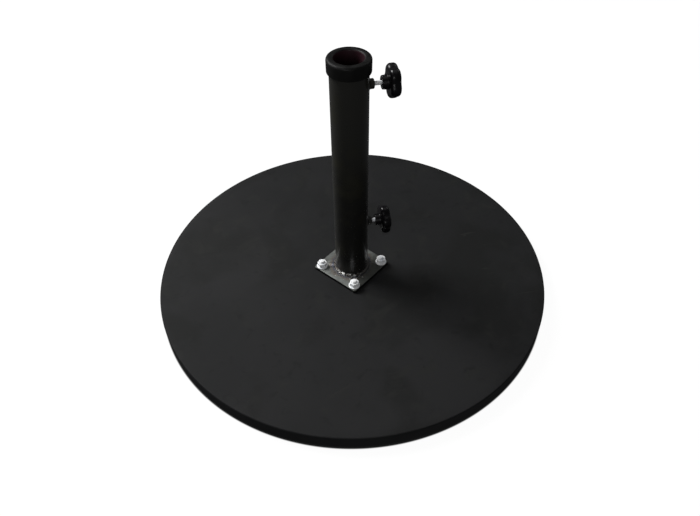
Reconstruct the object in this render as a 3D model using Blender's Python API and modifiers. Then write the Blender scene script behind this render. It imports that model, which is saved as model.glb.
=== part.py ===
"""Parasol base: a round steel plate with a bolted, welded stem and two thumb screws.

Metres, +Z up. The origin is on the floor, under the centre of the plate.
+X is the side that the thumb screws stand out from.
"""

from math import cos, pi, radians, sin

import bmesh
import bpy
from mathutils import Matrix

GAP = 0.0003

PLATE_RADIUS = 0.305
PLATE_THICKNESS = 0.023
PLATE_EDGE_RADIUS = 0.002

PAD_RADIUS = 0.017
PAD_HEIGHT = 0.003
PAD_CIRCLE_RADIUS = 0.240
PAD_COUNT = 4

FLANGE_SIDE = 0.085
FLANGE_THICKNESS = 0.005
FLANGE_CORNER_RADIUS = 0.003
FLANGE_TURN = radians(-7)

BOLT_SPACING = 0.067
BOLT_RADIUS = 0.004
BOLT_HOLE_RADIUS = 0.0046
BOLT_HEAD_RADIUS = 0.0080
BOLT_END_ABOVE_NUT = 0.0032
BOLT_SOCKET_ACROSS = 0.005
BOLT_SOCKET_DEPTH = 0.0026
WASHER_RADIUS = 0.00875
WASHER_THICKNESS = 0.0016
NUT_ACROSS = 0.013
NUT_HEIGHT = 0.0065

TUBE_RADIUS = 0.0254
TUBE_WALL = 0.002
TUBE_HEIGHT = 0.3570
WELD_WIDTH = 0.004
WELD_HEIGHT = 0.0035

COLLAR_RADIUS = 0.0286
COLLAR_HOLE_RADIUS = 0.0190
COLLAR_SKIRT = 0.0172
COLLAR_THICKNESS = 0.0012
COLLAR_SLEEVE = 0.0235
COLLAR_CHAMFER = 0.0010

SCREW_RADIUS = 0.003
SCREW_INSIDE_KNOB = 0.0115
SCREW_HEIGHTS = {"upper": 0.3246, "lower": 0.0939}
SCREW_FACES = {"upper": 0.0413, "lower": 0.0365}
LOBE_TURNS = {"upper": 0.5, "lower": 0.0}
SCREW_LENGTH = 0.0160
TIP_RADIUS = 0.0023
TIP_LENGTH = 0.0020
TIP_PIN_RADIUS = 0.0009
TIP_PIN_LENGTH = 0.0030
WELD_NUT_ACROSS = 0.010
WELD_NUT_LENGTH = 0.006

KNOB_RADIUS = 0.0225
KNOB_HUB_RADIUS = 0.00875
KNOB_HUB_LENGTH = 0.0080
KNOB_THICKNESS = 0.0140
KNOB_LOBES = 5
KNOB_FLUTE_DEPTH = 0.0036

PLATE_BOTTOM = PAD_HEIGHT
PLATE_TOP = PLATE_BOTTOM + PLATE_THICKNESS
FLANGE_BOTTOM = PLATE_TOP + GAP
FLANGE_TOP = FLANGE_BOTTOM + FLANGE_THICKNESS
TUBE_BOTTOM = FLANGE_TOP + GAP
TUBE_TOP = TUBE_BOTTOM + TUBE_HEIGHT
WASHER_BOTTOM = FLANGE_TOP + GAP
NUT_BOTTOM = WASHER_BOTTOM + WASHER_THICKNESS + GAP
NUT_TOP = NUT_BOTTOM + NUT_HEIGHT

ROUND_TO_X = Matrix.Rotation(pi / 2, 4, "Y")

for old in list(bpy.data.objects):
    bpy.data.objects.remove(old, do_unlink=True)


def new_collection(name, parts=True):
    made = bpy.data.collections.new(name)
    made.hide_render = not parts
    bpy.context.scene.collection.children.link(made)
    return made


PARTS = new_collection("parasol_base")
CUTTERS = new_collection("cutters", parts=False)


def material(name, colour, roughness, metallic=0.0):
    made = bpy.data.materials.new(name)
    made.use_nodes = True
    shader = made.node_tree.nodes["Principled BSDF"]
    shader.inputs["Base Color"].default_value = (*colour, 1.0)
    shader.inputs["Roughness"].default_value = roughness
    shader.inputs["Metallic"].default_value = metallic
    return made


PLATE_PAINT = material("plate_powder_coat", (0.022, 0.023, 0.024), 0.62)
STEM_PAINT = material("stem_black_enamel", (0.012, 0.012, 0.011), 0.38)
BARE_STEEL = material("bare_rolled_steel", (0.30, 0.31, 0.30), 0.45, 1.0)
ZINC = material("zinc_plated_steel", (0.62, 0.64, 0.66), 0.28, 1.0)
WELD_STEEL = material("weld_steel", (0.34, 0.34, 0.33), 0.40, 1.0)
COLLAR_PLASTIC = material("collar_plastic", (0.020, 0.020, 0.021), 0.50)
KNOB_PLASTIC = material("knob_plastic", (0.014, 0.013, 0.015), 0.36)
NYLON = material("natural_nylon", (0.62, 0.60, 0.54), 0.45)
PAD_RUBBER = material("pad_rubber", (0.025, 0.025, 0.025), 0.80)


def object_of(name, mesh, finish, collection=None):
    made = bpy.data.objects.new(name, mesh)
    (collection or PARTS).objects.link(made)
    if finish:
        mesh.materials.append(finish)
    if collection is CUTTERS:
        made.hide_render = True
        made.display_type = "WIRE"
    return made


def smooth(mesh, degrees=35.0):
    mesh.shade_smooth()
    mesh.set_sharp_from_angle(angle=radians(degrees))


def mesh_from(name, build):
    mesh = bpy.data.meshes.new(name)
    shape = bmesh.new()
    build(shape)
    shape.to_mesh(mesh)
    shape.free()
    return mesh


def prism_mesh(name, radius, length, sides):
    """A closed cylinder or prism that stands on z = 0."""

    def build(shape):
        bmesh.ops.create_cone(
            shape, cap_ends=True, segments=sides, radius1=radius, radius2=radius,
            depth=length, matrix=Matrix.Translation((0, 0, length / 2)),
        )

    return mesh_from(name, build)


def turned(name, profile, finish, steps, closed=False, collection=None):
    """A profile of (radius, height) points, outer side running down, turned about Z."""
    mesh = bpy.data.meshes.new(name)
    links = [(i, i + 1) for i in range(len(profile) - 1)]
    if closed:
        links.append((len(profile) - 1, 0))
    mesh.from_pydata([(radius, 0.0, height) for radius, height in profile], links, [])
    made = object_of(name, mesh, finish, collection)
    turn = made.modifiers.new("turn", "SCREW")
    turn.axis = "Z"
    turn.steps = steps
    turn.render_steps = steps
    turn.use_merge_vertices = True
    turn.merge_threshold = 0.00001
    turn.use_smooth_shade = True
    return made


def bevel(made, width, segments=2):
    rounding = made.modifiers.new("rounded_edges", "BEVEL")
    rounding.width = width
    rounding.segments = segments
    rounding.limit_method = "ANGLE"
    rounding.angle_limit = radians(40)


def cut(made, cutter, operation="DIFFERENCE"):
    boolean = made.modifiers.new(cutter.name, "BOOLEAN")
    boolean.operation = operation
    boolean.object = cutter
    boolean.solver = "EXACT"


def bolt_places():
    half = BOLT_SPACING / 2 * 2**0.5
    for number in range(4):
        angle = number * pi / 2 + FLANGE_TURN
        yield number + 1, (half * cos(angle), half * sin(angle))


def make_plate():
    mesh = prism_mesh("base_plate", PLATE_RADIUS, PLATE_THICKNESS, 120)
    smooth(mesh)
    plate = object_of("base_plate", mesh, PLATE_PAINT)
    plate.location.z = PLATE_BOTTOM
    bevel(plate, PLATE_EDGE_RADIUS)
    below = -0.002
    sunk = BOLT_HEAD_RADIUS + GAP
    for number, (x, y) in bolt_places():
        # a countersink for the bolt's head, then its clearance hole
        profile = [
            (0.0, PLATE_THICKNESS + 0.005),
            (BOLT_HOLE_RADIUS, PLATE_THICKNESS + 0.005),
            (BOLT_HOLE_RADIUS, sunk - BOLT_HOLE_RADIUS + 2 * GAP),
            (sunk, 2 * GAP),
            (sunk, below),
            (0.0, below),
        ]
        hole = turned(f"plate_hole_{number}", profile, None, 24, collection=CUTTERS)
        hole.location = (x, y, PLATE_BOTTOM)
        cut(plate, hole)


def make_pads():
    for number in range(PAD_COUNT):
        angle = (number + 0.5) * 2 * pi / PAD_COUNT
        name = f"foot_pad_{number + 1}"
        mesh = prism_mesh(name, PAD_RADIUS, PAD_HEIGHT - GAP, 24)
        smooth(mesh)
        pad = object_of(name, mesh, PAD_RUBBER)
        pad.location = (PAD_CIRCLE_RADIUS * cos(angle), PAD_CIRCLE_RADIUS * sin(angle), 0.0)
        bevel(pad, 0.0006, 1)


def make_flange():
    def build(shape):
        size = Matrix.Diagonal((FLANGE_SIDE, FLANGE_SIDE, FLANGE_THICKNESS, 1.0))
        up = Matrix.Translation((0, 0, FLANGE_THICKNESS / 2))
        bmesh.ops.create_cube(shape, size=1.0, matrix=up @ size)
        upright = [e for e in shape.edges if abs(e.verts[0].co.z - e.verts[1].co.z) > GAP]
        bmesh.ops.bevel(
            shape, geom=upright, offset=FLANGE_CORNER_RADIUS, segments=4,
            profile=0.5, affect="EDGES",
        )

    mesh = mesh_from("stem_flange", build)
    smooth(mesh)
    flange = object_of("stem_flange", mesh, BARE_STEEL)
    flange.location.z = FLANGE_BOTTOM
    flange.rotation_euler.z = pi / 4 + FLANGE_TURN
    bevel(flange, 0.0005, 1)
    for number, (x, y) in bolt_places():
        drill = prism_mesh(f"flange_hole_{number}", BOLT_HOLE_RADIUS, 3 * FLANGE_THICKNESS, 24)
        hole = object_of(drill.name, drill, None, CUTTERS)
        hole.location = (x, y, FLANGE_BOTTOM - FLANGE_THICKNESS)
        cut(flange, hole)


def make_bolt(number, x, y):
    head_bottom = PLATE_BOTTOM + GAP
    cone_top = head_bottom + BOLT_HEAD_RADIUS - BOLT_RADIUS
    end = NUT_TOP + BOLT_END_ABOVE_NUT
    chamfer = 0.0008
    profile = [
        (0.0, end),
        (BOLT_RADIUS - chamfer, end),
        (BOLT_RADIUS, end - chamfer),
        (BOLT_RADIUS, cone_top),
        (BOLT_HEAD_RADIUS, head_bottom + GAP),
        (BOLT_HEAD_RADIUS, head_bottom),
        (0.0, head_bottom),
    ]
    bolt = turned(f"flange_bolt_{number}", profile, ZINC, 20)
    bolt.location = (x, y, 0.0)
    corner = BOLT_SOCKET_ACROSS / 3**0.5
    socket_mesh = prism_mesh(f"bolt_socket_{number}", corner, 2 * BOLT_SOCKET_DEPTH, 6)
    socket = object_of(socket_mesh.name, socket_mesh, None, CUTTERS)
    socket.location = (x, y, head_bottom - BOLT_SOCKET_DEPTH)
    cut(bolt, socket)


def ring_profile(inner, outer, height, chamfer):
    return [
        (inner, height),
        (outer - chamfer, height),
        (outer, height - chamfer),
        (outer, chamfer),
        (outer - chamfer, 0.0),
        (inner, 0.0),
    ]


def make_washer(number, x, y):
    profile = ring_profile(BOLT_RADIUS + GAP, WASHER_RADIUS, WASHER_THICKNESS, 0.0002)
    washer = turned(f"flange_washer_{number}", profile, ZINC, 24, closed=True)
    washer.location = (x, y, WASHER_BOTTOM)


def hex_nut(name, across, height, hole_radius, finish):
    """A hexagon nut on z = 0, its outer corners cut back by a chamfer cone."""
    corner = across / 3**0.5
    slope = corner - across / 2 * 0.96
    drop = slope * 0.5
    blank = prism_mesh(f"{name}_blank", corner, height, 6)
    nut = object_of(name, blank, finish)
    barrel_profile = [
        (0.0, height + GAP),
        (across / 2 * 0.96 - GAP, height + GAP),
        (corner, height - drop),
        (corner, drop),
        (across / 2 * 0.96 - GAP, -GAP),
        (0.0, -GAP),
    ]
    barrel = turned(f"{name}_barrel", barrel_profile, None, 24, collection=CUTTERS)
    drill = prism_mesh(f"{name}_drill", hole_radius, 3 * height, 24)
    hole = object_of(drill.name, drill, None, CUTTERS)
    hole.location.z = -height
    cut(nut, barrel, "INTERSECT")
    cut(nut, hole)
    return nut, (barrel, hole)


def make_nut(number, x, y):
    name = f"flange_nut_{number}"
    nut, cutters = hex_nut(name, NUT_ACROSS, NUT_HEIGHT, BOLT_RADIUS + GAP, ZINC)
    seat = Matrix.Translation((x, y, NUT_BOTTOM)) @ Matrix.Rotation(radians(17 * number), 4, "Z")
    for piece in (nut, *cutters):
        piece.matrix_world = seat @ piece.matrix_world


def make_stem():
    inner = TUBE_RADIUS - TUBE_WALL
    profile = [
        (inner, TUBE_TOP),
        (TUBE_RADIUS, TUBE_TOP),
        (TUBE_RADIUS, TUBE_BOTTOM),
        (inner, TUBE_BOTTOM),
    ]
    tube = turned("stem_tube", profile, STEM_PAINT, 64, closed=True)
    for side, height in SCREW_HEIGHTS.items():
        drill = prism_mesh(f"{side}_screw_hole", SCREW_RADIUS + 2 * GAP, TUBE_RADIUS, 20)
        hole = object_of(drill.name, drill, None, CUTTERS)
        hole.matrix_world = Matrix.Translation((TUBE_RADIUS / 2, 0, PLATE_TOP + height)) @ ROUND_TO_X
        cut(tube, hole)

    start = TUBE_RADIUS + GAP
    weld_profile = [
        (start, TUBE_BOTTOM + WELD_HEIGHT),
        (start + WELD_WIDTH * 0.30, TUBE_BOTTOM + WELD_HEIGHT * 0.85),
        (start + WELD_WIDTH * 0.80, TUBE_BOTTOM + WELD_HEIGHT * 0.40),
        (start + WELD_WIDTH, TUBE_BOTTOM),
        (start, TUBE_BOTTOM),
    ]
    turned("stem_weld", weld_profile, WELD_STEEL, 40, closed=True)


def make_collar():
    """A moulded cap on the tube's end: a skirt outside it and a sleeve inside it."""
    seat = TUBE_TOP + GAP
    top = seat + COLLAR_THICKNESS
    skirt_bottom = TUBE_TOP - COLLAR_SKIRT
    sleeve_bottom = TUBE_TOP - COLLAR_SLEEVE
    skirt_inner = TUBE_RADIUS + GAP
    sleeve_outer = TUBE_RADIUS - TUBE_WALL - GAP
    profile = [
        (COLLAR_HOLE_RADIUS, top - COLLAR_CHAMFER),
        (COLLAR_HOLE_RADIUS + COLLAR_CHAMFER, top),
        (COLLAR_RADIUS - COLLAR_CHAMFER * 1.5, top),
        (COLLAR_RADIUS - COLLAR_CHAMFER * 0.4, top - COLLAR_CHAMFER * 0.4),
        (COLLAR_RADIUS, top - COLLAR_CHAMFER * 1.5),
        (COLLAR_RADIUS, skirt_bottom + COLLAR_CHAMFER),
        (COLLAR_RADIUS - COLLAR_CHAMFER, skirt_bottom),
        (skirt_inner, skirt_bottom),
        (skirt_inner, seat),
        (sleeve_outer, seat),
        (sleeve_outer, sleeve_bottom),
        (COLLAR_HOLE_RADIUS, sleeve_bottom),
    ]
    turned("top_collar", profile, COLLAR_PLASTIC, 56, closed=True)


def knob_mesh(name, lobe_turn):
    """A round hub that swells into a lobed head, lofted ring by ring along +Z."""
    edge = KNOB_HUB_LENGTH + KNOB_THICKNESS
    bore = SCREW_RADIUS + GAP
    waist = KNOB_HUB_RADIUS + 0.0008
    head = KNOB_HUB_LENGTH
    # radius, height and the share of the flutes' depth at each ring
    rings = [
        (bore, SCREW_INSIDE_KNOB + GAP, 0.0),
        (bore, 0.0, 0.0),
        (KNOB_HUB_RADIUS - 0.0008, 0.0, 0.0),
        (KNOB_HUB_RADIUS, 0.0008, 0.0),
        (waist, head, 0.0),
        (KNOB_RADIUS * 0.72, head, 0.6),
        (KNOB_RADIUS * 0.88, head + 0.0008, 0.9),
        (KNOB_RADIUS * 0.96, head + 0.0023, 1.0),
        (KNOB_RADIUS, head + 0.0045, 1.0),
        (KNOB_RADIUS, edge - 0.0045, 1.0),
        (KNOB_RADIUS * 0.96, edge - 0.0023, 1.0),
        (KNOB_RADIUS * 0.88, edge - 0.0008, 0.9),
        (KNOB_RADIUS * 0.72, edge - 0.0001, 0.6),
        (KNOB_RADIUS * 0.48, edge, 0.0),
    ]
    sides = 10 * KNOB_LOBES

    def ring(shape, radius, height, share):
        made = []
        for step in range(sides):
            angle = 2 * pi * step / sides
            wave = 0.5 - 0.5 * cos(KNOB_LOBES * (angle - lobe_turn * 2 * pi / KNOB_LOBES))
            reach = radius - share * KNOB_FLUTE_DEPTH * wave**1.5
            made.append(shape.verts.new((-reach * cos(angle), reach * sin(angle), height)))
        return made

    def build(shape):
        made = [ring(shape, *values) for values in rings]
        for inner, outer in zip(made, made[1:]):
            for step in range(sides):
                after = (step + 1) % sides
                shape.faces.new((inner[step], inner[after], outer[after], outer[step]))
        shape.faces.new(reversed(made[0]))
        shape.faces.new(made[-1])
        bmesh.ops.recalc_face_normals(shape, faces=shape.faces)

    mesh = mesh_from(name, build)
    smooth(mesh, 50.0)
    return mesh


def place_on(parent, made, along):
    """Puts a piece built along +Z on the screw's axis, pointing out along +X."""
    made.parent = parent
    made.location = (along, 0.0, 0.0)
    made.rotation_euler = (0.0, pi / 2, 0.0)


def make_thumb_screw(side):
    height = PLATE_TOP + SCREW_HEIGHTS[side]
    face = SCREW_FACES[side]
    axis = bpy.data.objects.new(f"{side}_screw_axis", None)
    PARTS.objects.link(axis)
    axis.location = (0.0, 0.0, height)

    nut_name = f"{side}_weld_nut"
    hole_radius = SCREW_RADIUS + GAP
    nut, cutters = hex_nut(nut_name, WELD_NUT_ACROSS, WELD_NUT_LENGTH, hole_radius, STEM_PAINT)
    flat_up = Matrix.Rotation(pi / 6, 4, "Z")
    seat = Matrix.Translation((TUBE_RADIUS + GAP, 0, height)) @ ROUND_TO_X @ flat_up
    for piece in (nut, *cutters):
        piece.matrix_world = seat @ piece.matrix_world

    knob = object_of(f"{side}_knob", knob_mesh(f"{side}_knob", LOBE_TURNS[side]), KNOB_PLASTIC)
    place_on(axis, knob, face)

    chamfer = 0.0006
    pin_hole = TIP_PIN_RADIUS + GAP
    screw_profile = [
        (0.0, SCREW_INSIDE_KNOB),
        (SCREW_RADIUS - chamfer, SCREW_INSIDE_KNOB),
        (SCREW_RADIUS, SCREW_INSIDE_KNOB - chamfer),
        (SCREW_RADIUS, chamfer - SCREW_LENGTH),
        (SCREW_RADIUS - chamfer, -SCREW_LENGTH),
        (pin_hole, -SCREW_LENGTH),
        (pin_hole, TIP_PIN_LENGTH + GAP - SCREW_LENGTH),
        (0.0, TIP_PIN_LENGTH + GAP - SCREW_LENGTH),
    ]
    screw = turned(f"{side}_screw", screw_profile, ZINC, 24)
    place_on(axis, screw, face)

    tip_top = -SCREW_LENGTH - GAP
    tip_bottom = tip_top - TIP_LENGTH
    tip_profile = [
        (0.0, tip_top + TIP_PIN_LENGTH),
        (TIP_PIN_RADIUS, tip_top + TIP_PIN_LENGTH),
        (TIP_PIN_RADIUS, tip_top),
        (TIP_RADIUS, tip_top),
        (TIP_RADIUS, tip_bottom + 0.0006),
        (TIP_RADIUS - 0.0006, tip_bottom),
        (0.0, tip_bottom),
    ]
    tip = turned(f"{side}_screw_tip", tip_profile, NYLON, 20)
    place_on(axis, tip, face)


make_plate()
make_pads()
make_flange()
for place, (bolt_x, bolt_y) in bolt_places():
    make_bolt(place, bolt_x, bolt_y)
    make_washer(place, bolt_x, bolt_y)
    make_nut(place, bolt_x, bolt_y)
make_stem()
make_collar()
for screw_side in SCREW_HEIGHTS:
    make_thumb_screw(screw_side)
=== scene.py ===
"""Looks for the parasol base: fine meshes, procedural finishes, a pale floor, soft light and the camera.

Metres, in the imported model's frame: +Z up, the floor at z = 0, the thumb screws on +X.
"""

from math import cos, pi, radians, sin, tan
from random import Random

import bmesh
import bpy
from mathutils import Matrix, Vector, noise


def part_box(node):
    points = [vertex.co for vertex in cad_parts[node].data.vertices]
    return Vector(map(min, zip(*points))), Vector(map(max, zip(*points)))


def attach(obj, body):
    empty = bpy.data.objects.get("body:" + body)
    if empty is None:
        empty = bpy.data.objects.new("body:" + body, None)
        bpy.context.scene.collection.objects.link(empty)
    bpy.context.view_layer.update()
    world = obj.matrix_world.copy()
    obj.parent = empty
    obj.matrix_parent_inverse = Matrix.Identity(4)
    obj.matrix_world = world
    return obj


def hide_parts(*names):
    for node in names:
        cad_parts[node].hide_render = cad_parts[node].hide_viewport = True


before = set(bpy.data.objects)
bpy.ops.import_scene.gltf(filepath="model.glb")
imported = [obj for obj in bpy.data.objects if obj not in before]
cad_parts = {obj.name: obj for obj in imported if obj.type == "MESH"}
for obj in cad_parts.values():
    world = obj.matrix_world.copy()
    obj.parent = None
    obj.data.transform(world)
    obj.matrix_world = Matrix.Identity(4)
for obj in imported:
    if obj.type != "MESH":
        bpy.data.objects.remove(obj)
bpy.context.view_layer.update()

ROUND_TO_X = Matrix.Rotation(pi / 2, 4, "Y")

plate_low, plate_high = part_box("base_plate")
flange_low, flange_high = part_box("stem_flange")
tube_low, tube_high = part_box("stem_tube")
collar_low, collar_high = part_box("top_collar")
weld_low, weld_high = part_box("stem_weld")

TUBE_RADIUS = tube_high.x
TUBE_WALL = 0.002
FLANGE_TURN = radians(-7)
BOLT_RADIUS = 0.004
BOLT_PITCH = 0.00125
SCREW_RADIUS = 0.003
SCREW_PITCH = 0.001
COLLAR_HOLE = 0.0190
SIDES = ("upper", "lower")
PLACES = (1, 2, 3, 4)


# ---------------------------------------------------------------- shapes


def ring(steps, radius, height):
    """Points round Z. The radius and the height are numbers, or functions of the angle."""
    made = []
    for step in range(steps):
        angle = 2 * pi * step / steps
        reach = radius(angle) if callable(radius) else radius
        level = height(angle) if callable(height) else height
        made.append(Vector((reach * cos(angle), reach * sin(angle), level)))
    return made


def pole(height):
    return [Vector((0.0, 0.0, height))]


def join(shape, first, second):
    count = max(len(first), len(second))
    for step in range(count):
        after = (step + 1) % count
        if len(first) == 1:
            corners = (first[0], second[after], second[step])
        elif len(second) == 1:
            corners = (first[step], first[after], second[0])
        else:
            corners = (first[step], first[after], second[after], second[step])
        shape.faces.new(corners)


def loft_into(shape, rings, closed=False):
    """Joins rings of points in turn. A ring of one point closes that end."""
    made = [[shape.verts.new(point) for point in points] for points in rings]
    for first, second in zip(made, made[1:]):
        join(shape, first, second)
    if closed:
        join(shape, made[-1], made[0])


def piece_from(name, shape, degrees=35.0, place=None):
    """A piece from the closed shells in shape, with its sharp edges kept sharp."""
    bmesh.ops.recalc_face_normals(shape, faces=shape.faces)
    mesh = bpy.data.meshes.new(name)
    shape.to_mesh(mesh)
    shape.free()
    if place is not None:
        mesh.transform(place)
    mesh.shade_smooth()
    mesh.set_sharp_from_angle(angle=radians(degrees))
    made = bpy.data.objects.new(name, mesh)
    bpy.context.scene.collection.objects.link(made)
    return made


def loft(name, rings, closed=False, degrees=35.0, place=None):
    shape = bmesh.new()
    loft_into(shape, rings, closed)
    return piece_from(name, shape, degrees, place)


def arc_corner(before, corner, after, radius, steps):
    """The points that round one corner of an outline."""
    back = (before - corner).normalized()
    ahead = (after - corner).normalized()
    half = back.angle(ahead) / 2
    reach = min(radius / tan(half), (before - corner).length / 2, (after - corner).length / 2)
    centre = corner + (back + ahead).normalized() * reach / cos(half)
    start = corner + back * reach - centre
    end = corner + ahead * reach - centre
    sweep = pi - 2 * half
    points = []
    for step in range(steps + 1):
        share = step / steps
        part = start * sin((1 - share) * sweep) + end * sin(share * sweep)
        points.append(centre + part / sin(sweep))
    return points


def rounded(corners, closed=False, steps=5):
    """An outline of (radius, height, rounding) corners as points, its corners made round."""
    flat = [Vector((radius, height)) for radius, height, _ in corners]
    points = []
    for number, (_, _, rounding) in enumerate(corners):
        ends = number in (0, len(corners) - 1) and not closed
        if rounding == 0.0 or ends:
            points.append(flat[number])
        else:
            before = flat[number - 1]
            after = flat[(number + 1) % len(flat)]
            points += arc_corner(before, flat[number], after, rounding, steps)
    return points


def turned(name, corners, steps, closed=False, place=None, degrees=35.0):
    rings = []
    for point in rounded(corners, closed):
        rings.append(pole(point.y) if point.x == 0.0 else ring(steps, point.x, point.y))
    return loft(name, rings, closed, degrees, place)


def hexagon(across):
    """The reach of a hexagon at an angle, with the middle of a flat at angle 0."""

    def reach(angle):
        return across / 2 / cos((angle + pi / 6) % (pi / 3) - pi / 6)

    return reach


def thread_rings(radius, pitch, low, high, steps, end_limit=None):
    """Rings from high to low whose radius follows a right-hand screw thread."""
    depth = 0.60 * pitch
    crest = 0.12
    flank = 0.70
    rows_per_turn = 10
    rows = round((high - low) / pitch * rows_per_turn)

    def reach_at(level):
        def reach(angle):
            phase = (level / pitch - angle / (2 * pi)) % 1.0
            slope = abs(2 * phase - 1)
            down_flank = min(max((slope - crest) / flank, 0.0), 1.0)
            limit = end_limit(level) if end_limit else radius
            return min(radius - depth * down_flank, limit)

        return reach

    made = []
    for row in range(rows + 1):
        level = high - (high - low) * row / rows
        made.append(ring(steps, reach_at(level), level))
    return made


def cut(made, cutter):
    """Takes the cutter out of a piece and removes the cutter."""
    boolean = made.modifiers.new("cut", "BOOLEAN")
    boolean.operation = "DIFFERENCE"
    boolean.solver = "EXACT"
    boolean.object = cutter
    graph = bpy.context.evaluated_depsgraph_get()
    mesh = bpy.data.meshes.new_from_object(made.evaluated_get(graph))
    made.modifiers.clear()
    made.data = mesh
    bpy.data.objects.remove(cutter, do_unlink=True)


def soften(made, width, segments=2, degrees=30.0):
    rounding = made.modifiers.new("soft_edges", "BEVEL")
    rounding.width = width
    rounding.segments = segments
    rounding.limit_method = "ANGLE"
    rounding.angle_limit = radians(degrees)
    rounding.harden_normals = True


def wander(place, scale, size):
    """A smooth, repeatable offset between -size and size."""
    return size * noise.noise(Vector(place) * scale)


def stand_in(made, node, body, finish):
    """Shows a piece in place of a CAD node, in one finish."""
    made.data.materials.clear()
    made.data.materials.append(finish)
    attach(made, body)
    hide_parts(node)


# ---------------------------------------------------------------- finishes


class Finish:
    """A material built up in layers from the piece's own coordinates."""

    def __init__(self, name, colour, roughness, metallic=0.0, specular=0.5):
        self.material = bpy.data.materials.new(name)
        self.material.use_nodes = True
        self.tree = self.material.node_tree
        self.shader = self.tree.nodes["Principled BSDF"]
        self.set(self.shader, "Metallic", metallic)
        self.set(self.shader, "Specular IOR Level", specular)
        self.place = self.tree.nodes.new("ShaderNodeTexCoord").outputs["Object"]
        self.colour = (*colour, 1.0)
        self.roughness = roughness
        self.normal = None

    def set(self, node, name, value):
        """Links a socket, or sets a constant on the node's own socket."""
        socket = node.inputs[name]
        if isinstance(value, bpy.types.NodeSocket):
            self.tree.links.new(value, socket)
        else:
            socket.default_value = value

    def stretched(self, scale, turn=0.0):
        mapping = self.tree.nodes.new("ShaderNodeMapping")
        self.set(mapping, "Vector", self.place)
        self.set(mapping, "Scale", scale)
        self.set(mapping, "Rotation", (0.0, 0.0, turn))
        return mapping.outputs["Vector"]

    def noise(self, scale, detail=3.0, place=None, bend=0.0):
        made = self.tree.nodes.new("ShaderNodeTexNoise")
        self.set(made, "Vector", place or self.place)
        self.set(made, "Scale", scale)
        self.set(made, "Detail", detail)
        self.set(made, "Distortion", bend)
        return made.outputs["Fac"]

    def band(self, value, low, high, start=0.0, end=1.0):
        made = self.tree.nodes.new("ShaderNodeMapRange")
        made.interpolation_type = "SMOOTHSTEP"
        self.set(made, "Value", value)
        self.set(made, "From Min", low)
        self.set(made, "From Max", high)
        self.set(made, "To Min", start)
        self.set(made, "To Max", end)
        return made.outputs["Result"]

    def maths(self, operation, first, second):
        made = self.tree.nodes.new("ShaderNodeMath")
        made.operation = operation
        for number, value in enumerate((first, second)):
            if isinstance(value, bpy.types.NodeSocket):
                self.tree.links.new(value, made.inputs[number])
            else:
                made.inputs[number].default_value = value
        return made.outputs[0]

    def from_axis(self):
        """The distance from the stem's axis."""
        flat = self.tree.nodes.new("ShaderNodeVectorMath")
        flat.operation = "MULTIPLY"
        self.tree.links.new(self.place, flat.inputs[0])
        flat.inputs[1].default_value = (1.0, 1.0, 0.0)
        made = self.tree.nodes.new("ShaderNodeVectorMath")
        made.operation = "LENGTH"
        self.tree.links.new(flat.outputs["Vector"], made.inputs[0])
        return made.outputs["Value"]

    def along(self, direction):
        """The distance from the origin along a direction."""
        made = self.tree.nodes.new("ShaderNodeVectorMath")
        made.operation = "DOT_PRODUCT"
        self.tree.links.new(self.place, made.inputs[0])
        made.inputs[1].default_value = direction
        return made.outputs["Value"]

    def upward(self):
        """How far the surface faces up: 1 on a level top, 0 on an upright side."""
        made = self.tree.nodes.new("ShaderNodeSeparateXYZ")
        facing = self.tree.nodes.new("ShaderNodeTexCoord").outputs["Normal"]
        self.tree.links.new(facing, made.inputs[0])
        return made.outputs["Z"]

    def specks(self, scale, size, share):
        """Small round dots in the given share of the cells of a Voronoi pattern."""
        cells = self.tree.nodes.new("ShaderNodeTexVoronoi")
        self.set(cells, "Vector", self.place)
        self.set(cells, "Scale", scale)
        chosen = self.tree.nodes.new("ShaderNodeSeparateColor")
        self.tree.links.new(cells.outputs["Color"], chosen.inputs[0])
        inside = self.band(cells.outputs["Distance"], size, size * 0.6)
        kept = self.maths("LESS_THAN", chosen.outputs[0], share)
        return self.maths("MULTIPLY", inside, kept)

    def scratches(self, along, across, turn, low, high, patch_scale, bend=0.0):
        """Thin streaks along one direction, kept in loose patches."""
        streaks = self.noise(1.0, 2.0, self.stretched((along, across, across), turn), bend)
        patches = self.noise(patch_scale, 2.0)
        thin = self.band(streaks, low, high)
        return self.maths("MULTIPLY", thin, self.band(patches, 0.50, 0.62))

    def tint(self, share, colour):
        mix = self.tree.nodes.new("ShaderNodeMix")
        mix.data_type = "RGBA"
        self.tree.links.new(share, mix.inputs[0])
        if isinstance(self.colour, bpy.types.NodeSocket):
            self.tree.links.new(self.colour, mix.inputs[6])
        else:
            mix.inputs[6].default_value = self.colour
        mix.inputs[7].default_value = (*colour, 1.0)
        self.colour = mix.outputs[2]

    def gloss(self, share, roughness):
        mix = self.tree.nodes.new("ShaderNodeMix")
        self.tree.links.new(share, mix.inputs[0])
        if isinstance(self.roughness, bpy.types.NodeSocket):
            self.tree.links.new(self.roughness, mix.inputs[2])
        else:
            mix.inputs[2].default_value = self.roughness
        mix.inputs[3].default_value = roughness
        self.roughness = mix.outputs[0]

    def bump(self, height, distance, strength=1.0):
        made = self.tree.nodes.new("ShaderNodeBump")
        self.set(made, "Height", height)
        self.set(made, "Distance", distance)
        self.set(made, "Strength", strength)
        if self.normal is not None:
            self.set(made, "Normal", self.normal)
        self.normal = made.outputs["Normal"]

    def done(self):
        self.set(self.shader, "Base Color", self.colour)
        self.set(self.shader, "Roughness", self.roughness)
        if self.normal is not None:
            self.set(self.shader, "Normal", self.normal)
        return self.material


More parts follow.
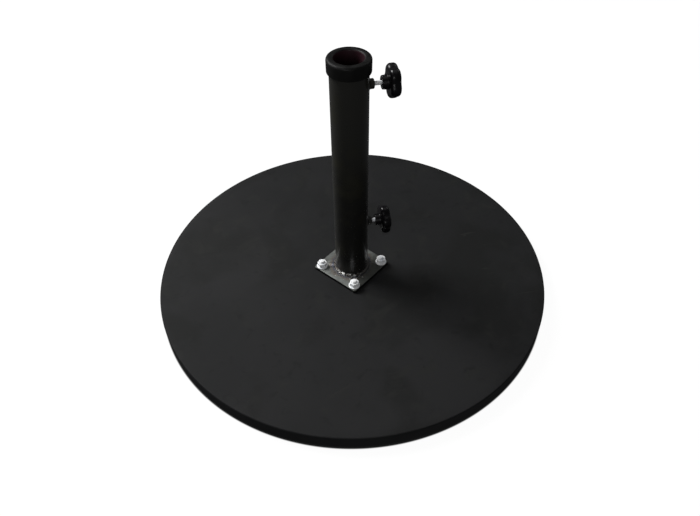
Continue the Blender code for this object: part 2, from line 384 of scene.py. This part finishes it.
def powder_coat():
    """Matte black powder coat: fine grain, cloudy patches, scuffs, dust, rougher towards -X."""
    made = Finish("plate_powder_coat", (0.0093, 0.0096, 0.0100), 0.64, specular=0.186)
    made.tint(made.band(made.noise(3.2, 5.0, bend=0.6), 0.40, 0.62), (0.0123, 0.0124, 0.0130))
    made.tint(made.band(made.noise(8.0, 5.0, bend=0.4), 0.47, 0.64, end=0.7), (0.0057, 0.0061, 0.0057))
    made.tint(made.band(made.noise(26.0, 6.0, bend=0.8), 0.54, 0.72, end=0.7), (0.0129, 0.0133, 0.0121))
    made.tint(made.band(made.noise(60.0, 5.0, bend=0.5), 0.58, 0.74, end=0.6), (0.0054, 0.0056, 0.0059))
    made.gloss(made.band(made.noise(13.0, 4.0), 0.40, 0.66), 0.56)
    for turn, patch_scale in ((0.35, 6.0), (1.75, 8.0)):
        scuff = made.scratches(18.0, 150.0, turn, 0.69, 0.78, patch_scale, bend=1.3)
        made.tint(scuff, (0.0143, 0.0143, 0.0132))
        made.gloss(scuff, 0.50)
    made.gloss(made.band(made.along((-0.97, -0.24, 0.0)), 0.04, 0.28), 0.72)
    smear = made.noise(14.0, 6.0, bend=2.2)
    made.tint(made.band(smear, 0.66, 0.80, end=0.60), (0.0164, 0.0164, 0.0146))
    made.tint(made.specks(60.0, 0.060, 0.022), (0.0464, 0.0464, 0.0429))
    made.tint(made.specks(170.0, 0.10, 0.020), (0.0257, 0.0257, 0.0236))
    made.bump(made.noise(28.0, 3.0), 0.00022, 0.5)
    made.bump(made.noise(420.0, 2.0), 0.00005, 0.8)
    made.bump(made.noise(1300.0, 1.0), 0.00003, 0.8)
    return made.done()


def enamel():
    """Satin black enamel, with painted light making it paler towards the top: orange peel, light rubs and
    a few chips.
    """
    made = Finish("stem_black_enamel", (0.0120, 0.0119, 0.0108), 0.27, specular=0.36)
    made.set(made.shader, "Sheen Weight", 0.10)
    made.set(made.shader, "Sheen Roughness", 0.25)
    height = made.along((0.0, 0.0, 1.0))
    # painted light: paler enamel towards the top stands in for how the light falls on the stem
    made.tint(made.band(height, 0.13, 0.34, end=0.7), (0.0264, 0.0259, 0.0221))
    made.tint(made.band(made.noise(24.0, 4.0), 0.48, 0.70), (0.0221, 0.0214, 0.0150))
    made.gloss(made.band(made.noise(40.0, 4.0), 0.42, 0.62), 0.33)
    rub = made.scratches(160.0, 12.0, 0.0, 0.70, 0.78, 26.0)
    made.tint(rub, (0.0321, 0.0307, 0.0257))
    made.gloss(rub, 0.55)
    made.tint(made.specks(160.0, 0.085, 0.03), (0.0429, 0.0407, 0.0357))
    made.bump(made.noise(110.0, 2.0), 0.00009, 0.5)
    made.bump(made.noise(520.0, 2.0), 0.00003, 0.7)
    return made.done()


def tube_inside():
    """Uncoated tube wall with a thin brown rust film."""
    made = Finish("stem_bare_inside", (0.0786, 0.0357, 0.0321), 0.62, metallic=0.15)
    made.tint(made.band(made.noise(60.0, 5.0), 0.42, 0.62), (0.0229, 0.0136, 0.0107))
    made.tint(made.band(made.noise(190.0, 4.0), 0.62, 0.74), (0.0786, 0.0371, 0.0200))
    made.gloss(made.band(made.noise(80.0, 3.0), 0.40, 0.60), 0.78)
    made.bump(made.noise(600.0, 3.0), 0.00008, 0.8)
    return made.done()


def rolled_steel():
    """Bare rolled steel: mill lines, blotches, rust spots and heat tint round the weld.

    A darker patch on the side towards +X is painted shadow of the stem, and the sheared edges are dark.
    """
    made = Finish("flange_rolled_steel", (0.193, 0.204, 0.193), 0.54, metallic=0.9)
    grain = made.noise(1.0, 3.0, made.stretched((30.0, 900.0, 200.0), pi / 4 + FLANGE_TURN))
    made.tint(made.band(grain, 0.38, 0.66), (0.143, 0.150, 0.143))
    made.tint(made.band(made.noise(45.0, 5.0), 0.50, 0.70), (0.104, 0.107, 0.100))
    made.tint(made.band(made.noise(120.0, 4.0), 0.60, 0.72), (0.243, 0.250, 0.243))
    ragged = made.maths("MULTIPLY", made.band(made.noise(150.0, 4.0), 0.2, 0.8), 0.006)
    reach = made.maths("SUBTRACT", made.from_axis(), ragged)
    weld_edge = weld_high.x
    made.tint(made.band(reach, weld_edge + 0.006, weld_edge - 0.001), (0.143, 0.121, 0.100))
    made.tint(made.band(reach, weld_edge + 0.002, weld_edge - 0.003), (0.0929, 0.0964, 0.114))
    made.tint(made.band(made.noise(260.0, 4.0), 0.68, 0.76, end=0.7), (0.114, 0.0607, 0.0357))
    # painted shadow: a darker patch on the +X side stands in for the stem's shadow on the flange
    painted_stem_shadow = made.maths("ADD", made.along((0.80, -0.60, 0.0)), ragged)
    made.tint(made.band(painted_stem_shadow, 0.018, 0.036, end=0.8), (0.0607, 0.0629, 0.0557))
    scored = made.scratches(40.0, 1500.0, 1.9, 0.66, 0.72, 40.0)
    made.tint(scored, (0.414, 0.421, 0.414))
    made.tint(made.band(made.upward(), 0.55, 0.15), (0.0143, 0.0143, 0.0150))
    made.gloss(made.band(made.noise(90.0, 4.0), 0.40, 0.62), 0.60)
    made.bump(grain, 0.00004, 0.8)
    made.bump(made.noise(340.0, 4.0), 0.00009, 0.8)
    return made.done()


def zinc_plate():
    """Zinc under a thin white film, with faint blue and straw patches."""
    made = Finish("bright_zinc", (0.98, 0.985, 0.99), 0.38, specular=1.0)
    made.tint(made.band(made.noise(160.0, 3.0), 0.48, 0.66), (0.82, 0.86, 0.91))
    made.tint(made.band(made.noise(230.0, 3.0), 0.60, 0.74), (0.88, 0.86, 0.77))
    made.gloss(made.band(made.noise(420.0, 4.0), 0.42, 0.64), 0.46)
    made.tint(made.band(made.noise(700.0, 2.0), 0.68, 0.76), (0.66, 0.67, 0.68))
    made.bump(made.noise(900.0, 3.0), 0.00003, 0.7)
    return made.done()


def weld_metal():
    """Weld metal: sooty and straw-coloured, with painted light making its crests bright along the front
    left.
    """
    made = Finish("weld_metal", (0.0607, 0.0586, 0.0557), 0.50, metallic=0.8)
    made.tint(made.band(made.noise(190.0, 4.0), 0.50, 0.64), (0.107, 0.0893, 0.0714))
    # painted light: the bright crests lie only on the front-left side, where the light falls on the bead
    painted_light_side = made.band(made.along((-0.50, -0.86, 0.0)), 0.016, 0.025)
    painted_bright_crests = made.maths("MULTIPLY", painted_light_side, made.band(made.noise(230.0, 4.0), 0.46, 0.58))
    made.tint(painted_bright_crests, (0.72, 0.72, 0.70))
    made.gloss(made.band(made.noise(300.0, 4.0), 0.40, 0.62), 0.36)
    made.bump(made.noise(800.0, 3.0), 0.00016, 0.9)
    return made.done()


def collar_plastic():
    """Black polyolefin: fine spark texture, a darker lip and a reddish brown mouth."""
    made = Finish("collar_plastic", (0.0061, 0.0060, 0.0056), 0.60, specular=0.171)
    made.tint(made.band(made.noise(70.0, 4.0), 0.48, 0.68), (0.0086, 0.0083, 0.0076))
    lip = made.band(made.along((0.0, 0.0, 1.0)), collar_high.z - 0.0022, collar_high.z - 0.0006)
    made.tint(lip, (0.0029, 0.0028, 0.0026))
    hollow = made.band(made.from_axis(), COLLAR_HOLE + 0.0010, COLLAR_HOLE)
    made.tint(hollow, (0.0286, 0.0107, 0.0150))
    made.gloss(made.band(made.noise(90.0, 3.0), 0.42, 0.64), 0.42)
    made.tint(made.specks(220.0, 0.10, 0.03), (0.0643, 0.0607, 0.0571))
    made.bump(made.noise(1500.0, 2.0), 0.00003, 0.8)
    made.bump(made.noise(160.0, 2.0), 0.00008, 0.5)
    return made.done()


def knob_plastic():
    """Smooth black phenolic with a faint cool cast and finger wear."""
    made = Finish("knob_plastic", (0.0026, 0.0021, 0.0030), 0.24, specular=0.257)
    made.tint(made.band(made.noise(120.0, 3.0), 0.50, 0.70), (0.0044, 0.0039, 0.0047))
    made.gloss(made.band(made.noise(150.0, 4.0), 0.42, 0.62), 0.33)
    made.tint(made.specks(330.0, 0.09, 0.02), (0.0500, 0.0500, 0.0500))
    made.bump(made.noise(1100.0, 2.0), 0.000025, 0.7)
    return made.done()


def nylon():
    made = Finish("natural_nylon", (0.443, 0.429, 0.379), 0.42)
    made.tint(made.band(made.noise(600.0, 3.0), 0.45, 0.65), (0.386, 0.364, 0.307))
    made.bump(made.noise(2200.0, 2.0), 0.00002, 0.6)
    return made.done()


def pad_rubber():
    made = Finish("pad_rubber", (0.0143, 0.0143, 0.0143), 0.78, specular=0.214)
    made.tint(made.band(made.noise(220.0, 4.0), 0.45, 0.65), (0.0229, 0.0221, 0.0214))
    made.bump(made.noise(900.0, 3.0), 0.00005, 0.8)
    return made.done()


POWDER = powder_coat()
ENAMEL = enamel()
INSIDE = tube_inside()
STEEL = rolled_steel()
ZINC = zinc_plate()
WELD = weld_metal()
COLLAR = collar_plastic()
KNOB = knob_plastic()
NYLON = nylon()
RUBBER = pad_rubber()


# ---------------------------------------------------------------- plate and feet


def bolt_axis(number):
    low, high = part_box(f"flange_bolt_{number}")
    return Matrix.Translation(((low.x + high.x) / 2, (low.y + high.y) / 2, 0.0))


def make_plate():
    """A thick turned disc, very slightly wavy, with rounded edges and countersunk holes."""
    radius, bottom, top = plate_high.x, plate_low.z, plate_high.z
    edge = 0.002
    edge_rows = 6
    side_rows = 5
    top_rows = 30
    wave = 0.00012
    ripple = 0.00008
    steps = 288

    def level_at(reach):
        def level(angle):
            spot = (reach * cos(angle), reach * sin(angle), 0.0)
            return top - wave + wander(spot, 9.0, wave)

        return level

    def reach_at(inset):
        def reach(angle):
            spot = (cos(angle), sin(angle), 0.0)
            return radius - inset - ripple + wander(spot, 14.0, ripple)

        return reach

    flat = radius - edge
    rings = [pole(top - wave)]
    for row in range(1, top_rows + 1):
        reach = flat * row / top_rows
        rings.append(ring(steps, reach, level_at(reach)))
    for row in range(1, edge_rows + 1):
        turn = pi / 2 * row / edge_rows
        rings.append(ring(steps, reach_at(edge * (1 - sin(turn))), top - wave - edge * (1 - cos(turn))))
    upright = top - bottom - 2 * edge
    for row in range(1, side_rows + 1):
        rings.append(ring(steps, reach_at(0.0), top - edge - upright * row / side_rows))
    for row in range(1, edge_rows + 1):
        turn = pi / 2 * row / edge_rows
        rings.append(ring(steps, reach_at(edge * (1 - cos(turn))), bottom + edge * (1 - sin(turn))))
    rings.append(pole(bottom))
    plate = loft("base_plate_disc", rings)

    sunk = 0.0083
    bore = 0.0046
    for number in PLACES:
        outline = [
            (0.0, top + 0.002, 0),
            (bore, top + 0.002, 0),
            (bore, bottom + sunk - bore, 0),
            (sunk, bottom + 0.0006, 0),
            (sunk, bottom - 0.002, 0),
            (0.0, bottom - 0.002, 0),
        ]
        cut(plate, turned("cutter", outline, 48, place=bolt_axis(number)))
    stand_in(plate, "base_plate", "base", POWDER)


def make_pad(number):
    """A rubber foot with rounded edges and two grooves in its floor face."""
    low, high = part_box(f"foot_pad_{number}")
    radius = (high.x - low.x) / 2
    height = high.z
    groove = 0.0006
    outline = [
        (0.0, height, 0),
        (radius - 0.0006, height, 0.0004),
        (radius, 0.0011, 0.0006),
        (radius - 0.0009, 0.0, 0.0005),
    ]
    for share in (0.72, 0.42):
        reach = radius * share
        outline += [
            (reach + 0.0008, 0.0, 0.0002),
            (reach + 0.0004, groove, 0.0002),
            (reach - 0.0004, groove, 0.0002),
            (reach - 0.0008, 0.0, 0.0002),
        ]
    outline.append((0.0, 0.0, 0))
    place = Matrix.Translation(((low.x + high.x) / 2, (low.y + high.y) / 2, 0.0))
    pad = turned(f"rubber_foot_{number}", outline, 72, place=place)
    stand_in(pad, f"foot_pad_{number}", "base", RUBBER)


# ---------------------------------------------------------------- flange and fasteners


def square_ring(half, corner, height, inset=0.0):
    """A square outline with round corners that point nearly along X and Y."""
    arc_steps = 8
    side_steps = 10
    middle = half - corner
    radius = corner - inset
    points = []
    for quarter in range(4):
        start = quarter * pi / 2
        across = Vector((middle, middle, 0.0))
        centre = Matrix.Rotation(start, 3, "Z") @ across
        for step in range(arc_steps + 1):
            angle = start + pi / 2 * step / arc_steps
            points.append(centre + Vector((radius * cos(angle), radius * sin(angle), height)))
        next_centre = Matrix.Rotation(start + pi / 2, 3, "Z") @ across
        last = points[-1]
        first = next_centre + Vector((radius * cos(start + pi / 2), radius * sin(start + pi / 2), height))
        points += [last.lerp(first, step / side_steps) for step in range(1, side_steps)]
    turn = Matrix.Rotation(pi / 4 + FLANGE_TURN, 3, "Z")
    return [turn @ point for point in points]


def make_flange():
    """A sheared square of plate: rolled-over top edge, slightly uneven sides, four holes."""
    corner = 0.003
    top, bottom = flange_high.z, flange_low.z
    half = 0.0425
    rolled = 0.0009
    uneven = 0.00010

    def worn(points):
        return [point * (1 - abs(wander(point, 260.0, uneven)) / half) for point in points]

    def level_ring(inset, height):
        ready = worn(square_ring(half, corner, 0.0, inset))
        return [Vector((point.x, point.y, height)) for point in ready]

    rings = [pole(top)]
    for row in range(6):
        turn = pi / 2 * row / 5
        rings.append(level_ring(rolled * (1 - sin(turn)), top - rolled * (1 - cos(turn))))
    rings.append(level_ring(0.00015, bottom + 0.0016))
    rings.append(level_ring(0.0, bottom + 0.0012))
    rings.append(level_ring(0.0, bottom + 0.0003))
    rings.append(level_ring(0.0003, bottom))
    rings.append(pole(bottom))
    flange = loft("stem_flange_plate", rings)

    hole = 0.0046
    for number in PLACES:
        outline = [
            (0.0, top + 0.002, 0),
            (hole + 0.0024, top + 0.002, 0),
            (hole, top - 0.0004, 0),
            (hole, bottom - 0.002, 0),
            (0.0, bottom - 0.002, 0),
        ]
        cut(flange, turned("cutter", outline, 40, place=bolt_axis(number)))
    stand_in(flange, "stem_flange", "base", STEEL)


def make_bolt(number):
    """A countersunk machine screw, head down, its threaded end above the nut."""
    low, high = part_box(f"flange_bolt_{number}")
    head_radius = (high.x - low.x) / 2
    steps = 48
    bottom, end = low.z, high.z
    cone_top = bottom + 0.0002 + head_radius - BOLT_RADIUS
    thread_low = flange_low.z
    socket = hexagon(0.005)
    socket_top = bottom + 0.0026
    chamfer = 0.0009

    def end_limit(level):
        return BOLT_RADIUS - max(0.0, chamfer - (end - level))

    rings = [pole(end), ring(steps, BOLT_RADIUS - chamfer - 0.0003, end)]
    rings += thread_rings(BOLT_RADIUS, BOLT_PITCH, thread_low, end - 0.0001, steps, end_limit)
    rings += [
        ring(steps, BOLT_RADIUS * 0.98, thread_low - 0.0006),
        ring(steps, BOLT_RADIUS * 0.98, cone_top),
        ring(steps, head_radius - 0.0002, bottom + 0.0005),
        ring(steps, head_radius, bottom + 0.0003),
        ring(steps, head_radius - 0.0002, bottom),
        ring(steps, 0.0033, bottom),
        ring(steps, socket, bottom + 0.0004),
        ring(steps, socket, socket_top),
        pole(socket_top + 0.0006),
    ]
    bolt = loft(f"countersunk_bolt_{number}", rings, place=bolt_axis(number), degrees=40.0)
    stand_in(bolt, f"flange_bolt_{number}", "base", ZINC)


def make_washer(number):
    """A stamped washer: rounded upper edges and a sharp lower edge."""
    low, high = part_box(f"flange_washer_{number}")
    outer = (high.x - low.x) / 2
    inner = BOLT_RADIUS + 0.0003
    outline = [
        (inner, low.z, 0.0001),
        (inner, high.z, 0.0004),
        (outer, high.z, 0.0005),
        (outer, low.z, 0.0001),
    ]
    washer = turned(f"stamped_washer_{number}", outline, 72, closed=True, place=bolt_axis(number))
    stand_in(washer, f"flange_washer_{number}", "base", ZINC)


def nut_rings(across, height, bore, steps=96):
    """A hexagon nut on z = 0 as a closed run of rings, its corners chamfered at 30 degrees."""
    reach = hexagon(across)
    face = across / 2 * 0.94
    lead = 0.0006

    def upper(angle):
        return height - (reach(angle) - face) * tan(radians(30))

    def lower(angle):
        return (reach(angle) - face) * tan(radians(30))

    return [
        ring(steps, bore, lead),
        ring(steps, bore, height - lead),
        ring(steps, bore + lead, height),
        ring(steps, face, height),
        ring(steps, reach, upper),
        ring(steps, reach, lower),
        ring(steps, face, 0.0),
        ring(steps, bore + lead, 0.0),
    ]


def make_nut(number):
    name = f"flange_nut_{number}"
    low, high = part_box(name)
    across = 0.013
    turn = Matrix.Rotation(radians(17 * number + 30), 4, "Z")
    place = bolt_axis(number) @ Matrix.Translation((0, 0, low.z)) @ turn
    rings = nut_rings(across, high.z - low.z, BOLT_RADIUS + 0.00012)
    nut = loft(f"hex_nut_{number}", rings, closed=True, place=place, degrees=25.0)
    soften(nut, 0.00018)
    stand_in(nut, name, "base", ZINC)


# ---------------------------------------------------------------- stem


def make_tube():
    """The stem tube: enamel outside, bare inside with its weld seam, drilled for the screws."""
    inner = TUBE_RADIUS - TUBE_WALL
    bottom, top = tube_low.z, tube_high.z
    steps = 192
    seam_height = 0.0004
    seam_width = radians(4)
    seam_place = radians(100)

    def inner_reach(angle):
        off = abs((angle - seam_place + pi) % (2 * pi) - pi)
        return inner - seam_height * max(0.0, 1 - off / seam_width)

    edge = 0.0004
    rings = [
        ring(steps, inner_reach, bottom + edge),
        ring(steps, inner_reach, top - edge),
        ring(steps, inner + edge, top),
        ring(steps, TUBE_RADIUS - edge, top),
        ring(steps, TUBE_RADIUS, top - edge),
        ring(steps, TUBE_RADIUS, bottom + edge),
        ring(steps, TUBE_RADIUS - edge, bottom),
        ring(steps, inner + edge, bottom),
    ]
    tube = loft("stem_tube_wall", rings, closed=True)
    for side in SIDES:
        ends = [ring(40, SCREW_RADIUS + 0.0006, level) for level in (0.0, TUBE_RADIUS)]
        drill = [pole(0.0), *ends, pole(TUBE_RADIUS)]
        place = screw_axis(side) @ Matrix.Translation((TUBE_RADIUS / 2, 0, 0)) @ ROUND_TO_X
        cut(tube, loft("cutter", drill, place=place))
    tube.data.materials.clear()
    tube.data.materials.append(ENAMEL)
    tube.data.materials.append(INSIDE)
    limit = TUBE_RADIUS - TUBE_WALL / 2
    for face in tube.data.polygons:
        face.material_index = int(face.center.xy.length < limit)
    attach(tube, "base")
    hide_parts("stem_tube")


def make_weld():
    """An uneven fillet bead round the tube's foot with crescent ripples, lumps and spatter."""
    start = weld_low.z
    inner = TUBE_RADIUS + 0.0001
    width = weld_high.x - TUBE_RADIUS
    height = weld_high.z - weld_low.z
    steps = 480
    rows = 12
    ripple_length = 0.0021
    ripples = round(2 * pi * TUBE_RADIUS / ripple_length)
    lumps = ((radians(214), 0.12), (radians(236), 0.08), (radians(258), 0.14), (radians(284), 0.10))

    def swell(angle):
        size = 0.76 + wander((cos(angle), sin(angle), 0.0), 5.0, 0.22)
        for centre, spread in lumps:
            off = abs((angle - centre + pi) % (2 * pi) - pi)
            size += 0.34 * max(0.0, 1 - off / spread)
        return min(size, 1.12)

    def bead_ring(row):
        share = row / rows
        lean = pi / 2 * share
        made = []
        for step in range(steps):
            angle = 2 * pi * step / steps
            size = swell(angle)
            phase = ripples * angle + 1.6 * sin(pi * share)
            wave = 0.00022 * sin(phase) * sin(pi * share)
            spot = (cos(angle) * 25, sin(angle) * 25, share * 5)
            rough = 0.00014 * noise.noise(Vector(spot)) * sin(pi * min(1, share + 0.1))
            reach = inner + (width * size) * sin(lean) ** 0.9 + (wave + rough)
            level = start + (height * size * 0.92) * cos(lean) ** 0.9 + (wave + rough)
            level = max(level, start)
            made.append(Vector((reach * cos(angle), reach * sin(angle), level)))
        return made

    shape = bmesh.new()
    rings = [bead_ring(row) for row in range(rows + 1)]
    rings.append(ring(steps, inner, start - 0.0002))
    loft_into(shape, rings, closed=True)
    rng = Random(7)
    spatter_tries = 70
    spatter_limit = 0.041
    for _ in range(spatter_tries):
        angle = rng.uniform(0, 2 * pi)
        if rng.random() < 0.6:
            angle = radians(rng.gauss(250, 28))
        reach = TUBE_RADIUS + width + abs(rng.gauss(0, 0.0045))
        size = rng.uniform(0.00022, 0.00065)
        spot = Vector((reach * cos(angle), reach * sin(angle), start - 0.0003 + size * 0.3))
        if reach < spatter_limit:
            place = Matrix.Translation(spot) @ Matrix.Diagonal((1.2, 1.0, 0.8, 1.0))
            bmesh.ops.create_icosphere(shape, subdivisions=2, radius=size, matrix=place)
    weld = piece_from("stem_weld_bead", shape, 60.0)
    stand_in(weld, "stem_weld", "base", WELD)


def make_collar():
    """A moulded cap: a rounded lip, a skirt outside the tube and a sleeve inside it."""
    outer = collar_high.x
    top, sleeve_bottom = collar_high.z, collar_low.z
    seat = tube_high.z + 0.0003
    skirt_bottom = tube_high.z - 0.0172
    skirt_inner = TUBE_RADIUS + 0.0003
    sleeve_outer = TUBE_RADIUS - TUBE_WALL - 0.0003
    outline = [
        (COLLAR_HOLE, sleeve_bottom, 0.0008),
        (COLLAR_HOLE, top, 0.0028),
        (outer, top, 0.0036),
        (outer - 0.0002, skirt_bottom, 0.0012),
        (skirt_inner, skirt_bottom, 0.0003),
        (skirt_inner, seat, 0.0002),
        (sleeve_outer, seat, 0.0002),
        (sleeve_outer, sleeve_bottom, 0.0008),
    ]
    collar = turned("top_collar_moulding", outline, 192, closed=True)
    seam = 0.00012
    for vertex in collar.data.vertices:
        # a faint parting line down both sides of the moulding
        if vertex.co.xy.length > skirt_inner + 0.001 and abs(vertex.co.x) < 0.0004:
            vertex.co.y += seam if vertex.co.y > 0 else -seam
    stand_in(collar, "top_collar", "base", COLLAR)


# ---------------------------------------------------------------- thumb screws


def screw_axis(side):
    low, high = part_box(f"{side}_screw")
    return Matrix.Translation((0.0, (low.y + high.y) / 2, (low.z + high.z) / 2))


def fillet_rings(across):
    """A small uneven fillet weld between the nut and the round tube, in the screw's own axes."""
    steps = 96
    rows = 6
    sunk = TUBE_RADIUS - 0.0015
    reach = hexagon(across)

    def fillet_ring(share):
        points = []
        for step in range(steps):
            angle = 2 * pi * step / steps
            spot = (cos(angle), sin(angle), 0.3)
            spread = 0.0013 + wander(spot, 3.0, 0.0005)
            lift = 0.0016 + wander(spot, 4.0, 0.0005)
            out = reach(angle) * 0.985 + spread * share
            # local Y points sideways, so it gives the depth of the tube's wall
            wall = (TUBE_RADIUS**2 - (out * sin(angle)) ** 2) ** 0.5
            ripple = 0.00012 * sin(22 * angle) * sin(pi * share)
            level = wall - 0.0001 + lift * (1 - share) ** 1.6 + ripple
            points.append(Vector((out * cos(angle), out * sin(angle), level)))
        return points

    rings = [fillet_ring(1 - row / rows) for row in range(rows + 1)]
    high = [Vector((point.x * 0.88, point.y * 0.88, point.z)) for point in rings[-1]]
    low = [Vector((point.x, point.y, sunk)) for point in high]
    return [low, *rings, high]


def make_weld_nut(side):
    """A nut with its fillet weld, both under the stem's enamel."""
    low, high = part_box(f"{side}_weld_nut")
    across = high.z - low.z
    shape = bmesh.new()
    raise_by = Matrix.Translation((0, 0, low.x))
    rings = nut_rings(across, high.x - low.x, SCREW_RADIUS + 0.00012)
    loft_into(shape, [[raise_by @ point for point in points] for points in rings], closed=True)
    loft_into(shape, fillet_rings(across), closed=True)
    nut = piece_from(f"{side}_threaded_nut", shape, 25.0, screw_axis(side) @ ROUND_TO_X)
    soften(nut, 0.0003)
    stand_in(nut, f"{side}_weld_nut", "base", ENAMEL)


def make_stud(side):
    """A fully threaded stud with chamfered ends."""
    low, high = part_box(f"{side}_screw")
    steps = 40
    chamfer = 0.0006

    def end_limit(level):
        near = min(level - low.x, high.x - level)
        return SCREW_RADIUS - max(0.0, chamfer - near)

    pin_hole = 0.0012
    rings = [pole(high.x), ring(steps, SCREW_RADIUS - chamfer - 0.0003, high.x)]
    rings += thread_rings(SCREW_RADIUS, SCREW_PITCH, low.x + 0.0001, high.x - 0.0001, steps, end_limit)
    rings += [
        ring(steps, SCREW_RADIUS - chamfer - 0.0003, low.x),
        ring(steps, pin_hole, low.x),
        ring(steps, pin_hole, low.x + 0.0033),
        pole(low.x + 0.0033),
    ]
    stud = loft(f"{side}_stud", rings, place=screw_axis(side) @ ROUND_TO_X, degrees=40.0)
    stand_in(stud, f"{side}_screw", f"{side}_thumb_screw", ZINC)


def make_tip(side):
    low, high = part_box(f"{side}_screw_tip")
    shoulder = high.x - 0.0030
    outline = [
        (0.0, high.x, 0),
        (0.0009, high.x, 0.0003),
        (0.0009, shoulder, 0.0002),
        (0.0023, shoulder, 0.0003),
        (0.0023, low.x, 0.0006),
        (0.0, low.x, 0),
    ]
    tip = turned(f"{side}_nylon_tip", outline, 48, place=screw_axis(side) @ ROUND_TO_X)
    stand_in(tip, f"{side}_screw_tip", f"{side}_tip", NYLON)


def make_knob(side, lobe_turn):
    """A round hub that swells into five fat finger lobes, with a dished outer face."""
    low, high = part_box(f"{side}_knob")
    lobes = 5
    flute = 0.0031
    radius = 0.0225
    hub = 0.00875
    waist = 0.00955
    length = high.x - low.x
    head = 0.0080
    bore = SCREW_RADIUS + 0.0002
    depth = 0.0118
    steps = 24 * lobes
    dish = 0.0011
    rounding = 0.0054
    outline = [
        (0.0, depth, 0),
        (bore, depth, 0),
        (bore, 0.0004, 0.0003),
        (bore + 0.0020, 0.0, 0.0003),
        (hub, 0.0, 0.0009),
        (waist, head, 0.0012),
        (radius, head, rounding),
        (radius, length, rounding),
        (radius * 0.50, length, 0.0010),
        (radius * 0.44, length - dish, 0.0010),
        (radius * 0.16, length - dish, 0.0006),
        (radius * 0.12, length - dish * 0.4, 0.0006),
        (0.0, length - dish * 0.4, 0),
    ]

    def fluted(reach_here, level):
        spread = min(max((reach_here - radius * 0.52) / (radius * 0.36), 0.0), 1.0)
        share = spread * spread * (3 - 2 * spread)
        if level < head * 0.8:
            share = 0.0

        def reach(angle):
            wave = 0.5 - 0.5 * cos(lobes * angle - lobe_turn * 2 * pi)
            return reach_here - share * flute * wave**1.5

        return reach

    rings = []
    for point in rounded(outline, steps=7):
        if point.x == 0.0:
            rings.append(pole(point.y))
        else:
            rings.append(ring(steps, fluted(point.x, point.y), point.y))
    half_turn = Matrix.Rotation(pi, 4, "Z")
    place = screw_axis(side) @ Matrix.Translation((low.x, 0, 0)) @ ROUND_TO_X @ half_turn
    knob = loft(f"{side}_lobed_knob", rings, place=place, degrees=50.0)
    stand_in(knob, f"{side}_knob", f"{side}_thumb_screw", KNOB)


# ---------------------------------------------------------------- stage, light and camera


def make_floor():
    """A white floor that glows like a light table; the glow stops under the plate as a painted contact
    shadow.
    """
    bpy.ops.mesh.primitive_plane_add(size=16.0, location=(0, 0, 0))
    floor = bpy.context.object
    floor.name = "studio_floor"
    paint = Finish("studio_floor", (0.07, 0.07, 0.07), 0.9, specular=0.0)
    paint.set(paint.shader, "Emission Color", (1.0, 1.0, 1.0, 1.0))
    under = plate_high.x
    # painted shadow: no glow under the plate, so a dark contact line shows at its foot
    glow_and_painted_contact_shadow = paint.band(paint.from_axis(), under - 0.0005, under + 0.0015, end=0.96)
    paint.set(paint.shader, "Emission Strength", glow_and_painted_contact_shadow)
    paint.tint(paint.band(paint.noise(1.5, 2.0), 0.35, 0.65), (0.08, 0.08, 0.08))
    floor.data.materials.append(paint.done())
    floor.visible_glossy = False
    floor.visible_diffuse = False


def make_world():
    """Pale where the camera sees it, dimmer as light on the object."""
    world = bpy.data.worlds.new("studio_world")
    bpy.context.scene.world = world
    world.use_nodes = True
    tree = world.node_tree
    tree.nodes.clear()
    seen = tree.nodes.new("ShaderNodeBackground")
    seen.inputs["Color"].default_value = (1.0, 1.0, 1.0, 1.0)
    seen.inputs["Strength"].default_value = 1.0
    light = tree.nodes.new("ShaderNodeBackground")
    light.inputs["Color"].default_value = (0.95, 0.97, 1.0, 1.0)
    light.inputs["Strength"].default_value = 0.077
    ray = tree.nodes.new("ShaderNodeLightPath")
    mix = tree.nodes.new("ShaderNodeMixShader")
    out = tree.nodes.new("ShaderNodeOutputWorld")
    tree.links.new(ray.outputs["Is Camera Ray"], mix.inputs[0])
    tree.links.new(light.outputs[0], mix.inputs[1])
    tree.links.new(seen.outputs[0], mix.inputs[2])
    tree.links.new(mix.outputs[0], out.inputs["Surface"])


def make_light(name, place, size, watts, colour=(1.0, 1.0, 1.0), aim=(0.0, 0.0, 0.1)):
    lamp = bpy.data.lights.new(name, "AREA")
    lamp.shape = "RECTANGLE"
    lamp.size, lamp.size_y = size
    lamp.energy = watts
    lamp.color = colour
    made = bpy.data.objects.new(name, lamp)
    bpy.context.scene.collection.objects.link(made)
    made.location = place
    made.rotation_euler = (Vector(aim) - Vector(place)).to_track_quat("-Z", "Y").to_euler()


def make_camera():
    """Seen from the front at 46 degrees down, a little to the left."""
    lens = bpy.data.cameras.new("photo_camera")
    lens.lens = 31.7
    lens.sensor_width = 36.0
    lens.shift_x = 0.0004
    lens.shift_y = -0.0006
    camera = bpy.data.objects.new("photo_camera", lens)
    bpy.context.scene.collection.objects.link(camera)
    pan, tilt, roll = radians(11.07), radians(45.57), radians(-0.97)
    turn = Matrix.Rotation(-pan, 4, "Z")
    turn = turn @ Matrix.Rotation(pi / 2 - tilt, 4, "X") @ Matrix.Rotation(roll, 4, "Z")
    camera.matrix_world = Matrix.Translation((-0.1355, -0.6768, 0.7497)) @ turn
    bpy.context.scene.camera = camera


make_camera()
make_plate()
for place_number in PLACES:
    make_pad(place_number)
make_flange()
for place_number in PLACES:
    make_bolt(place_number)
    make_washer(place_number)
    make_nut(place_number)
make_tube()
make_weld()
make_collar()
for screw_side, turn_of_lobes in (("upper", 0.5), ("lower", 0.0)):
    make_weld_nut(screw_side)
    make_stud(screw_side)
    make_tip(screw_side)
    make_knob(screw_side, turn_of_lobes)

make_floor()
make_world()
make_light("key_light", (-1.60, 1.34, 2.05), (1.2, 1.2), 92.0)
make_light("top_light", (0.0, 0.6, 2.6), (2.0, 2.0), 5.6)
make_light("front_fill", (-0.9, -1.9, 1.0), (1.2, 0.8), 8.4)
make_light("right_fill", (1.6, 1.2, 1.6), (1.2, 1.2), 4.2)
bpy.context.scene.view_settings.view_transform = "Standard"
